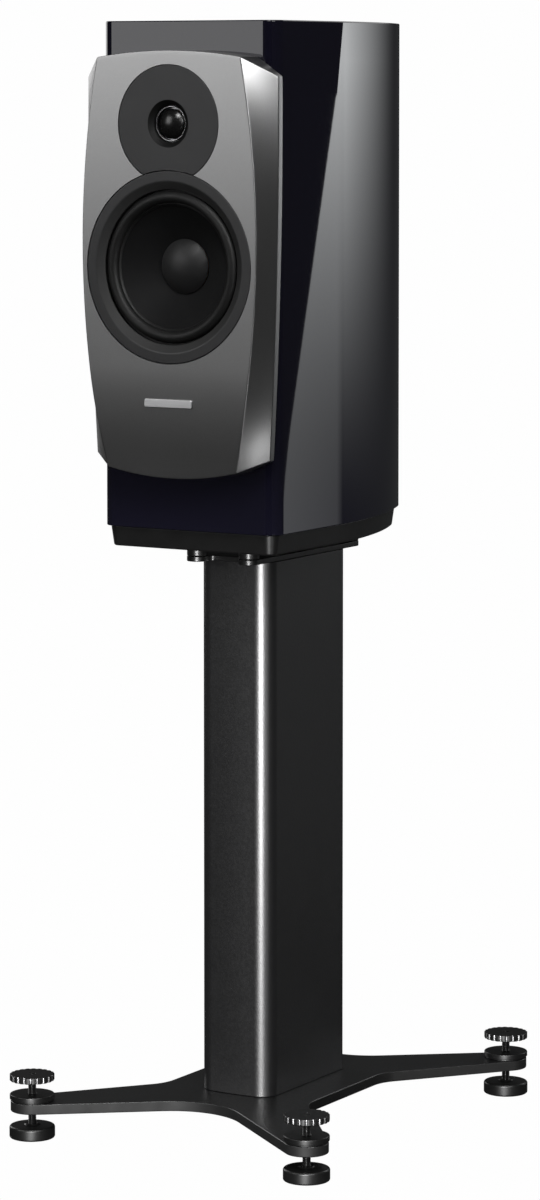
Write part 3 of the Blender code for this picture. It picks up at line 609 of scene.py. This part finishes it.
def lobe_places():
    return [(sx * LOBE_X, sy * LOBE_Y) for sx in (-1, 1) for sy in (-1, 1)]


def make_stand():
    coat = {"slot": "black_coat"}
    holes = [circle(x, y, 0.0075, 40) for x, y in CORNERS.values()] + [circle(0, 0, 0.0055, 32)]
    base = slab_mesh(base_outline(), holes, BASE_Z, BASE_TOP, 0.0011, 0.0003)
    base = piece("star_base", base, [COAT, EDGE], nodes=["base_plate"], **coat)
    for polygon in base.data.polygons:
        if abs(polygon.normal.z) < 0.3:
            polygon.material_index = 1

    low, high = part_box("column")[0].z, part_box("column")[1].z
    column = slab_mesh(column_outline(), [column_outline(0.0040)], low, high, 0.0005)
    piece("column_tube", column, COAT, nodes=["column"], **coat)

    outer, inner, tip = LOBE_X + LOBE_RADIUS, LOBE_X - LOBE_RADIUS, LOBE_Y + LOBE_RADIUS
    notch, lobe = tip - 0.019, LOBE_RADIUS * 0.98
    right = [(inner, -notch, 0.004, 8), (inner, -tip, lobe, 12), (outer, -tip, lobe, 12)]
    right += [(outer, tip, lobe, 12), (inner, tip, lobe, 12), (inner, notch, 0.004, 8)]
    left = [(-x, y, r, n) for x, y, r, n in reversed(right)]
    plate = slab_mesh(fillet(right + left), [circle(0, 0, 0.0055, 32)], TOP_PLATE_Z, TOP_PLATE_TOP, 0.0006)
    plate = piece("stand_head_plate", plate, FOOT_COAT, nodes=["stand_top_plate"], **coat)
    below, above = TOP_PLATE_Z - 0.003, TOP_PLATE_TOP + 0.003
    sink = [(0, above), (0.0045, above), (0.0045, TOP_PLATE_Z + 0.0040), (0.0115, below), (0, below)]
    for x, y in lobe_places():
        cut(plate, temporary(lathe_mesh(sink, 48), (x, y, 0)))

    head = TOP_PLATE_Z + 0.0002
    screw = [(0, 0.5835), (0.0034, 0.5835, 0.0004, 3), (0.0038, 0.5600), (0.0038, TOP_PLATE_Z + 0.0038)]
    screw += [(0.0072, head + 0.0003), (0.0072, head, 0.0002, 2), (0.0024, head)]
    screw += [(0.0022, head + 0.0018), (0, head + 0.0018)]
    names = ("front_left", "rear_left", "front_right", "rear_right")
    for (x, y), name in zip(lobe_places(), names):
        place = {"location": (x, y, 0), "nodes": ["stand_screw_" + name], "slot": "plated_steel"}
        lathe("stand_bolt_" + name, screw, STEEL, 48, **place)

    low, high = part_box("tie_rod")[0].z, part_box("tie_rod")[1].z
    rod = [(0, high), (0.0050, high, 0.0006, 3), (0.0050, low, 0.0006, 3), (0, low)]
    lathe("tie_bar", rod, STEEL, 48, nodes=["tie_rod"], slot="plated_steel")
    low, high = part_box("tie_rod_nut")[0].z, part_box("tie_rod_nut")[1].z
    corners = [(x, y, 0.0008, 3) for x, y in circle(0, 0, 0.0092, 6)]
    nut = slab_mesh(fillet(corners), [circle(0, 0, 0.0053, 32)], low, high, 0.0007, 0.0003)
    piece("tie_bar_nut", nut, STEEL, nodes=["tie_rod_nut"], slot="plated_steel")


# ---- Cabinet ----
def cabinet_plan(inset=0.0, front=None, back=None, front_corner=None, rear_corner=None):
    """The boat-tail plan, inset on its sides, as an outline seen from above."""
    front = CABINET_FRONT + inset if front is None else front
    back = CABINET_BACK - inset if back is None else back
    front_corner = 0.0150 - inset if front_corner is None else front_corner
    rear_corner = 0.0100 - inset if rear_corner is None else rear_corner
    half_width, radius = CABINET_HALF_WIDTH - inset, SIDE_RADIUS - inset
    centre_x = half_width - radius
    rear_y = back - rear_corner
    swing = math.degrees(math.asin((rear_y - SIDE_START) / (radius - rear_corner)))
    rear_x = centre_x + (radius - rear_corner) * math.cos(math.radians(swing))
    half = arc(half_width - front_corner, front + front_corner, front_corner, -90, 0, 20)
    half += arc(centre_x, SIDE_START, radius, 0, swing, 48)
    half += arc(rear_x, rear_y, rear_corner, swing, 90, 12)[1:]
    return half + [(-x, y) for x, y in reversed(half)]


def at_height(outline, z):
    return [(x, y, z) for x, y in outline]


def make_plinth():
    profile = [(0.0300, PLINTH_Z), (0.0068, PLINTH_Z, 0.0020, 6)]
    profile += [(0.0040, PLINTH_TOP, 0.0010, 5), (0.0300, PLINTH_TOP)]
    rings = []
    for inset, z in fillet(profile, False)[1:-1]:
        corners = {"front_corner": 0.0150 - min(inset, 0.012), "rear_corner": 0.0100 - min(inset, 0.007)}
        rings.append(at_height(cabinet_plan(inset, **corners), z))
    plinth = piece("cabinet_plinth", loft_mesh(rings), PAINT, nodes=["plinth"], slot="black_paint")
    boss_low = TOP_PLATE_TOP + 0.0003
    boss = [(0, PLINTH_Z + 0.004), (0.0100, PLINTH_Z + 0.004), (0.0100, boss_low, 0.0008, 4), (0, boss_low)]
    hole = [(0, 0.5845), (0.0042, 0.5845), (0.0042, boss_low - 0.005), (0, boss_low - 0.005)]
    for x, y in lobe_places():
        cut(plinth, temporary(lathe_mesh(fillet(boss, False), 48), (x, y, 0)), "UNION")
        cut(plinth, temporary(lathe_mesh(hole, 32), (x, y, 0)))
    flare = arc(PORT_RADIUS + 0.0115, 0.5805, 0.0115, 180, 270, 12)
    mouth = [(0, 0.60), (PORT_RADIUS, 0.60), *flare, (PORT_RADIUS + 0.0116, 0.560), (0, 0.560)]
    cut(plinth, temporary(lathe_mesh(mouth, 96)))


def make_cabinet():
    profile = [(0.02, CABINET_Z), (0, CABINET_Z, 0.0008, 4)]
    profile += [(0, CABINET_TOP, 0.0014, 8), (0.02, CABINET_TOP)]
    rings = [at_height(cabinet_plan(inset), z) for inset, z in fillet(profile, False)[1:-1]]
    finish = {"nodes": ["cabinet_shell"], "slot": "midnight_lacquer"}
    shell = piece("lacquered_cabinet", loft_mesh(rings), LACQUER, **finish)
    inside = cabinet_plan(0.0160, CABINET_FRONT + 0.0180, CABINET_BACK - 0.0180, 0.003, 0.003)
    low, high = CABINET_Z + 0.0180, CABINET_TOP - 0.0180
    cut(shell, temporary(loft_mesh([at_height(inside, low), at_height(inside, high)])))
    for z, radius in ((WOOFER_Z, 0.0800), (TWEETER_Z, 0.0400)):
        way = [(0, 0.02), (radius, 0.02), (radius, -0.03), (0, -0.03)]
        cut(shell, temporary(lathe_mesh(way, 64), (0, CABINET_FRONT, z), FORWARD))
    window = [(-0.028, -0.035), (0.028, -0.035), (0.028, 0.035), (-0.028, 0.035)]
    depths = (CABINET_BACK - 0.03, CABINET_BACK + 0.01)
    hole = loft_mesh([[(x, y, POST_Z + z) for x, z in window] for y in depths])
    cut(shell, temporary(hole))
    way = [(0, low + 0.01), (0.0325, low + 0.01), (0.0325, CABINET_Z - 0.01), (0, CABINET_Z - 0.01)]
    cut(shell, temporary(lathe_mesh(way, 64)))

    bore, wall, top = PORT_RADIUS, PORT_RADIUS + 0.0030, 0.7200
    flare = arc(bore + 0.008, top - 0.0005, 0.008, 180, 90, 10)
    foot = CABINET_Z + 0.0002
    port = [*flare, (wall + 0.006, top + 0.0045), (wall, top - 0.010), (wall, foot), (bore, foot)]
    lathe("port_duct", port, PLASTIC, 96, nodes=["port_tube"], slot="black_plastic")


# ---- Baffle ----
def face_half_width(z):
    return 0.0955 - (z - 0.8600) ** 2 / (2 * 0.8900)


def facet_half_width(z):
    return 0.1050 - (z - 0.9800) ** 2 / (2 * 5.4000)


def face_y(z):
    drop = max(0.0, BEND_Z - z)
    return BAFFLE_FRONT + BEND_RADIUS - math.sqrt(BEND_RADIUS**2 - drop**2)


def face_edge(share, top):
    """Height of the face's top or bottom edge at a share of its half-width."""
    z = 1.035 if top else 0.648
    for _ in range(12):
        x = face_half_width(z) * share
        z = 1.0402 - x**2 / (2 * 0.5000) if top else 0.6410 + x**2 / (2 * 0.3020)
    return z


def make_baffle():
    across, up, facet_steps = 44, 90, 6
    facet_top, facet_bottom = 1.0160, 0.6605
    columns = [("face", 2 * i / across - 1) for i in range(across + 1)]
    for k in range(1, facet_steps + 1):
        columns.append(("facet", k / facet_steps))
        columns.insert(0, ("facet", -k / facet_steps))

    def point(kind, share, rise):
        side = 1 if share > 0 else -1
        edge = share if kind == "face" else 1.0
        low, high = face_edge(edge, False), face_edge(edge, True)
        z = low + (high - low) * rise
        inner = Vector((face_half_width(z) * (share if kind == "face" else side), face_y(z), z))
        if kind == "face":
            return inner
        z = facet_bottom + (facet_top - facet_bottom) * rise
        return inner.lerp(Vector((side * facet_half_width(z), FACET_Y, z)), abs(share))

    work = bmesh.new()
    grid = [[work.verts.new(point(kind, share, j / up)) for j in range(up + 1)] for kind, share in columns]
    for left, right in zip(grid, grid[1:]):
        for j in range(up):
            work.faces.new((left[j], right[j], right[j + 1], left[j + 1]))
    rim = grid[0][::-1] + [column[0] for column in grid[1:]]
    rim += grid[-1][1:] + [column[-1] for column in grid[-2:0:-1]]
    back = [work.verts.new((v.co.x, BAFFLE_BACK, v.co.z)) for v in rim]
    for i in range(len(rim)):
        j = (i + 1) % len(rim)
        work.faces.new((rim[i], rim[j], back[j], back[i]))
    work.faces.new(back)
    bmesh.ops.recalc_face_normals(work, faces=work.faces)
    sharp = [e for e in work.edges if len(e.link_faces) == 2 and e.calc_face_angle(0) > math.radians(14)]
    rounding = {"offset": 0.0008, "segments": 4, "profile": 0.5, "affect": "EDGES"}
    bmesh.ops.bevel(work, geom=sharp, clamp_overlap=True, **rounding)
    baffle = piece("faceted_baffle", work, BAFFLE, nodes=["front_baffle"], slot="grey_baffle")
    for z, radius, depth, way in ((WOOFER_Z, 0.0903, 0.0106, 0.0775), (TWEETER_Z, 0.0553, 0.0053, 0.0375)):
        seat = [(0, 0.02), (radius, 0.02), (radius, -depth), (way, -depth), (way, -0.06), (0, -0.06)]
        cut(baffle, temporary(lathe_mesh(seat, 160), (0, BAFFLE_FRONT, z), FORWARD))

    centre = (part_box("blank_badge")[0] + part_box("blank_badge")[1]) / 2
    lean = math.asin((BEND_Z - centre.z) / BEND_RADIUS)
    bar = slab_mesh(rectangle(0.026, 0.0038, 0.0012, 5), [], -0.00065, 0.00065, 0.0004)
    turn = Matrix.Rotation(math.radians(90) - lean, 4, "X")
    bmesh.ops.transform(bar, matrix=turn, verts=bar.verts)
    piece("blank_bar", bar, BADGE, nodes=["blank_badge"], slot="brushed_badge", location=centre)


# ---- Woofer ----
def cone_line(radius):
    """Height of the cone's front surface, a gently flared cone."""
    rim, neck = -0.0088, -0.0310
    share = (CONE_OUTER - radius) / (CONE_OUTER - CONE_INNER)
    return rim + (neck - rim) * (share + 0.12 * share * (1 - share))


def radial_blend(obj, body, centre_z, inner, outer):
    """The piece follows the moving body inside the inner radius and the cabinet outside the outer one."""
    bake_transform(obj, ROOT, body, start=(0, 0, centre_z), end=(0, 0, centre_z + 0.01))
    weights = obj.data.attributes["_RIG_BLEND"].data
    for vertex, weight in zip(obj.data.vertices, weights):
        radius = math.hypot(vertex.co.x, vertex.co.z - centre_z)
        share = min(1.0, max(0.0, (outer - radius) / (outer - inner)))
        weight.value = share * share * (3 - 2 * share)


def make_woofer():
    axis = {"location": (0, BAFFLE_FRONT, WOOFER_Z), "rotation": FORWARD}
    seat = -0.0053
    trim = [(0.0800, 0.0, 0.004, 8), (0.0897, 0.0, 0.0009, 6), (0.0897, seat), (0.0728, seat)]
    trim += [(0.0728, -0.0044, 0.0005, 4)]
    finish = {"nodes": ["woofer_trim_ring"], "slot": "dark_trim", **axis}
    # The inner slope's polygons take the darker copy of the trim grey: painted shade.
    ring = lathe("woofer_trim", trim, [TRIM, SLOPE_PAINTED_SHADE], 192, **finish)
    for polygon in ring.data.polygons:
        if math.hypot(polygon.center.x, polygon.center.y) < 0.0795:
            polygon.material_index = 1

    roll, thick, middle, base = 0.0046, 0.0010, 0.0655, -0.0080
    over = arc(middle, base, roll + thick, 180, 0, 20)
    under = arc(middle, base, roll, 0, 180, 20)
    lip_out, lip_in = 0.0755, 0.0578
    inner_top = (middle - roll - thick - 0.0006, cone_line(0.0596) + 0.0012)
    glued = cone_line(lip_in)
    section = [(lip_in, glued + 0.0005), (lip_in + 0.0003, glued + 0.0013), inner_top]
    section += [*over, (lip_out, base + 0.0001), (lip_out, base - 0.0005), (middle + roll, base - 0.0005)]
    section += [*under, (lip_in, glued + 0.0003)]
    turned = lathe_mesh(section, 192, True)
    surround = piece("woofer_roll", turned, RUBBER, None, ["woofer_surround"], "black_rubber", **axis)
    radial_blend(surround, "woofer_moving", WOOFER_Z, 0.0602, 0.0716)

    stations = [CONE_OUTER - (CONE_OUTER - CONE_INNER) * i / 24 for i in range(25)]
    cone = [(r, cone_line(r)) for r in reversed(stations)] + [(r, cone_line(r) - 0.0012) for r in stations]
    moving = {"body": "woofer_moving", "slot": "black_cone", **axis}
    piece("woofer_cone_skin", lathe_mesh(cone, 192), CONE, nodes=["woofer_cone"], **moving)
    cap_radius, cap_low, cap_rise = 0.0258, -0.0293, 0.0100
    bulge = (cap_radius**2 + cap_rise**2) / (2 * cap_rise)
    swing = math.degrees(math.asin(cap_radius / bulge))
    crown = arc(0, cap_low + cap_rise - bulge, bulge, 90, 90 - swing, 24)
    crown[0] = (0, crown[0][1])
    inner = [(r * 0.97, z - 0.0010) for r, z in reversed(crown)]
    piece("woofer_dome_cap", lathe_mesh(crown + inner, 160), CAP, nodes=["woofer_dust_cap"], **moving)

    waves = []
    spider_inner, spider_outer, ripples = 0.0257, 0.0595, 6
    for i in range(61):
        r = spider_inner + (spider_outer - spider_inner) * i / 60
        waves.append((r, -0.0416 - 0.0007 * math.cos(2 * math.pi * ripples * i / 60)))
    spider = lathe_mesh(waves + [(r, z - 0.0005) for r, z in reversed(waves)], 96, True)
    finish = {"nodes": ["woofer_spider"], "slot": "spider_cloth", **axis}
    spider = piece("woofer_spider_disc", spider, SPIDER, None, **finish)
    radial_blend(spider, "woofer_moving", WOOFER_Z, 0.0262, 0.0590)


# ---- Tweeter ----
def make_tweeter():
    axis = {"location": (0, BAFFLE_FRONT, TWEETER_Z), "rotation": FORWARD}
    throat = 0.0222
    face = [(throat, 0.0, 0.0012, 4), (0.0547, 0.0, 0.0006, 5), (0.0547, -0.0050), (0.0172, -0.0050)]
    face += [(0.0180, -0.0030, 0.004, 6)]
    finish = {"nodes": ["tweeter_faceplate"], "slot": "dark_trim", **axis}
    plate = lathe("tweeter_plate", face, [TRIM, THROAT], 192, **finish)
    notch = [(0, 0.02), (0.0906, 0.02), (0.0906, -0.03), (0, -0.03)]
    cut(plate, temporary(lathe_mesh(notch, 256), (0, BAFFLE_FRONT, WOOFER_Z), FORWARD))
    for polygon in plate.data.polygons:
        if math.hypot(polygon.center.x, polygon.center.y) < throat:
            polygon.material_index = 1

    crest = 0.0160
    ring = [(0.0153, -0.0072), (0.0153, -0.0054, 0.0004, 4), (crest, -0.0050, 0.0005, 5)]
    ring += [(0.0166, -0.0056, 0.0004, 4), (0.0166, -0.0072)]
    finish = {"nodes": ["tweeter_ring"], "slot": "bright_metal", **axis}
    ring = lathe("tweeter_bright_ring", ring, [THROAT, BRIGHT], 160, **finish)
    for polygon in ring.data.polygons:
        if abs(math.hypot(polygon.center.x, polygon.center.y) - crest) < 0.00035:
            polygon.material_index = 1

    radius, rise, low = 0.0140, 0.0062, -0.0072
    bulge = (radius**2 + rise**2) / (2 * rise)
    swing = math.degrees(math.asin(radius / bulge))
    crown = arc(0, low + rise - bulge, bulge, 90, 90 - swing, 20)
    crown[0] = (0, crown[0][1])
    inner = [(r * 0.96, z - 0.0006) for r, z in reversed(crown)]
    moving = {"body": "tweeter_moving", "nodes": ["tweeter_dome"], "slot": "soft_dome", **axis}
    piece("tweeter_soft_dome", lathe_mesh(crown + inner, 128), DOME, **moving)


# ---- Terminals ----
def make_terminals():
    place = {"location": (0, 0, POST_Z), "rotation": BACKWARD}
    holes = [circle(x, 0, 0.0034, 32) for x in (-POST_X, POST_X)]
    outline = rectangle(0.036, 0.048, 0.006, 8)
    plate = slab_mesh(outline, holes, CABINET_BACK + 0.0003, TERMINAL_FACE, 0.0008, 0.0002)
    piece("terminal_panel", plate, COAT, nodes=["terminal_plate"], slot="black_coat", **place)
    head = [(0, 0.0008), (0.0012, 0.0008), (0.0014, 0.0016), (0.0022, 0.0017, 0.0006, 4)]
    head += [(0.0030, 0.0004), (0.0030, -0.0002), (0, -0.0002)]
    for i, (side_x, side_z) in enumerate(((-1, -1), (1, -1), (1, 1), (-1, 1))):
        where = (side_x * 0.0305, TERMINAL_FACE, POST_Z + side_z * 0.0425)
        lathe(f"terminal_screw_{i}", head, STEEL, 40, location=where, rotation=BACKWARD)
    for side, name in ((-1, "left"), (1, "right")):
        axis = {"location": (side * POST_X, TERMINAL_FACE, POST_Z), "rotation": BACKWARD}
        stud = thread_mesh(0.0030, 0.0040, 0.0250, 0.0010, 0.0004, 32)
        finish = {"nodes": ["post_stud_" + name], "slot": "bright_metal", "angle": 60, **axis}
        piece("post_thread_" + name, stud, GOLD, **finish)
        collar = [(0, 0.0053), (0.0075, 0.0053, 0.0008, 5), (0.0075, 0.0003, 0.0004, 3)]
        collar += [(0.0030, 0.0003), (0.0030, -0.0140), (0, -0.0140)]
        lathe("post_collar_" + name, collar, RED if side > 0 else PLASTIC, 64, **axis)
        washer = [(0.0034, 0.0072), (0.0070, 0.0072, 0.0003, 3)]
        washer += [(0.0070, 0.0057, 0.0003, 3), (0.0034, 0.0057)]
        travel, turn = "post_washer_" + name, "post_nut_" + name
        ring = lathe_mesh(fillet(washer), 64)
        piece("post_ring_" + name, ring, GOLD, travel, [travel], "bright_metal", **axis)
        rim = wheel_outline(0.0085, 0.0005, 20)
        knob = slab_mesh(rim, [circle(0, 0, 0.0034, 32)], 0.0076, 0.0216, 0.0008, 0.0003)
        piece("post_knob_" + name, knob, GOLD, turn, [turn], "bright_metal", **axis)


for corner_name, (corner_x, corner_y) in CORNERS.items():
    make_foot(corner_name, corner_x, corner_y)
make_stand()
make_plinth()
make_cabinet()
make_baffle()
make_woofer()
make_tweeter()
make_terminals()

# CAD nodes whose shape is right stay, with a finished material.
KEPT = {
    "cabinet_brace": FIBREBOARD,
    "crossover_board": BOARD,
    "crossover_capacitor": PLASTIC,
    "crossover_coil": COPPER,
    "damping_pad": FELT,
    "tweeter_motor": STEEL,
    "tweeter_rear_chamber": PLASTIC,
    "tweeter_voice_coil": COPPER,
    "tweeter_wire": RUBBER,
    "woofer_basket": COAT,
    "woofer_magnet": FERRITE,
    "woofer_pole_piece": STEEL,
    "woofer_top_plate": STEEL,
    "woofer_voice_coil": COPPER,
    "woofer_wire": RUBBER,
}
for node_name, finish in KEPT.items():
    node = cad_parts[node_name]
    node.data.materials.clear()
    node.data.materials.append(finish)


# ---- Stage, light and camera ----
def white_backdrop():
    """An evenly glowing dome that only the camera sees, so that it lights nothing."""
    work = bmesh.new()
    bmesh.ops.create_uvsphere(work, u_segments=48, v_segments=24, radius=44.0)
    dome = linked("pale_backdrop", mesh_from("pale_backdrop", work))
    white = Nodes("pale_backdrop")
    white.glow((1, 1, 1), 0.991)
    dome.data.materials.append(white.material)
    dome.visible_diffuse = False
    dome.visible_glossy = False
    dome.visible_transmission = False
    dome.visible_shadow = False


def studio_world():
    world = bpy.data.worlds.new("studio")
    bpy.context.scene.world = world
    world.use_nodes = True
    world.node_tree.nodes["Background"].inputs["Color"].default_value = (1.0, 1.0, 1.0, 1)
    world.node_tree.nodes["Background"].inputs["Strength"].default_value = 0.03


def softbox(name, place, target, width, height, power):
    """A rectangular softbox at a place, facing a target."""
    data = bpy.data.lights.new(name, "AREA")
    data.shape = "RECTANGLE"
    data.size, data.size_y = width, height
    data.energy = power
    turn = (Vector(target) - Vector(place)).to_track_quat("-Z", "Y")
    linked(name, data, place, turn.to_euler())


def black_card():
    """A card between the low front softbox and the cabinet, which keeps that light on the stand."""
    left, right, low, high = (0.09, -2.26), (1.57, -1.60), 0.275, 1.3
    work = bmesh.new()
    corners = [(*left, low), (*right, low), (*right, high), (*left, high)]
    work.faces.new([work.verts.new(corner) for corner in corners])
    card = linked("black_card", mesh_from("black_card", work))
    card.data.materials.append(THROAT)
    card.visible_camera = False


def side_panel():
    """A glowing panel behind, for the cabinet's right side to reflect. It fades to its far side and foot."""
    leaning_edge = [(1.39, -0.30), (1.3845, 0.385, 1.5, 8), (1.2875, 0.992, 0.02, 4)]
    leaning_edge += [(1.150, 1.097, 0.02, 4), (1.13, 1.35)]
    near, far = 2.0, -1.6
    outline = fillet(leaning_edge, False)
    work = bmesh.new()
    bright_side = [work.verts.new((x, near, z)) for x, z in outline]
    dark_side = [work.verts.new((far, near, z)) for x, z in outline]
    for i in range(len(outline) - 1):
        work.faces.new((bright_side[i], bright_side[i + 1], dark_side[i + 1], dark_side[i]))
    n = Nodes("side_panel")
    parts = n.split()
    across = n.math("POWER", n.ramp(parts["X"], -0.3, 1.1, 0.0, 1.0), 2.4)
    rise = n.math("POWER", n.ramp(parts["Z"], 0.30, 1.04, 0.0, 1.0), 2.2)
    rim = n.ramp(parts["X"], 1.15, 1.38, 0.0, 0.65)
    strength = n.math("MULTIPLY", n.math("MULTIPLY", across, rise), 4.2)
    n.glow((0.97, 0.99, 1.0), n.math("ADD", n.math("ADD", strength, rim), 0.045))
    panel = linked("side_panel", mesh_from("side_panel", work))
    panel.data.materials.append(n.material)
    panel.visible_camera = False
    panel.visible_shadow = False


def make_camera():
    yaw, pitch = 31.1093, 3.8544
    data = bpy.data.cameras.new("camera")
    data.lens = 125.398
    data.sensor_width = 36.0
    data.shift_y = -0.2
    data.clip_end = 200.0
    rotation = (math.radians(90 - pitch), 0, math.radians(yaw))
    bpy.context.scene.camera = linked("camera", data, (2.0861, -3.4646, 1.0141), rotation)


white_backdrop()
studio_world()
# A large softbox front left, high enough to leave the cabinet's foot out of its reflection.
softbox("front_left", (-1.45, -2.35, 1.80), (-0.1, -0.1, 1.1), 1.5, 1.6, 19)
# A strong low softbox right of the front, for the column's corner.
softbox("front_right", (1.25, -2.90, 0.11), (0, 0, 0.35), 1.2, 0.1, 165)
black_card()
# A high light in front, for the tops of the feet's rims and the lower half of the woofer.
softbox("front_high", (0.9, -2.0, 3.2), (0, 0, 0.3), 0.8, 0.8, 36)
# A high and a low light to the right, for the two ends of the baffle's bevelled flank.
softbox("right_high", (1.70, -1.15, 1.80), (0, -0.1, 0.95), 0.8, 0.9, 21)
softbox("right_low", (1.66, -1.10, 0.12), (0, -0.1, 0.65), 0.6, 0.35, 2.3)
softbox("overhead", (0.0, 0.3, 3.2), (0, 0, 0.5), 2.4, 2.4, 9)
# One light behind and one on the left, for the sides that the camera doesn't see.
softbox("rear_fill", (0.5, 3.4, 2.4), (0, 0, 0.7), 2.2, 1.4, 14)
softbox("left_fill", (-3.0, 1.0, 1.4), (0, 0, 0.6), 1.4, 2.0, 18)
# A dim low light behind, which the stand's flat tops reflect.
softbox("rear_low", (-1.1, 2.2, 0.8), (0, 0, 0.05), 2.0, 1.3, 0.3)
side_panel()
make_camera()
bpy.context.scene.view_settings.view_transform = "Standard"
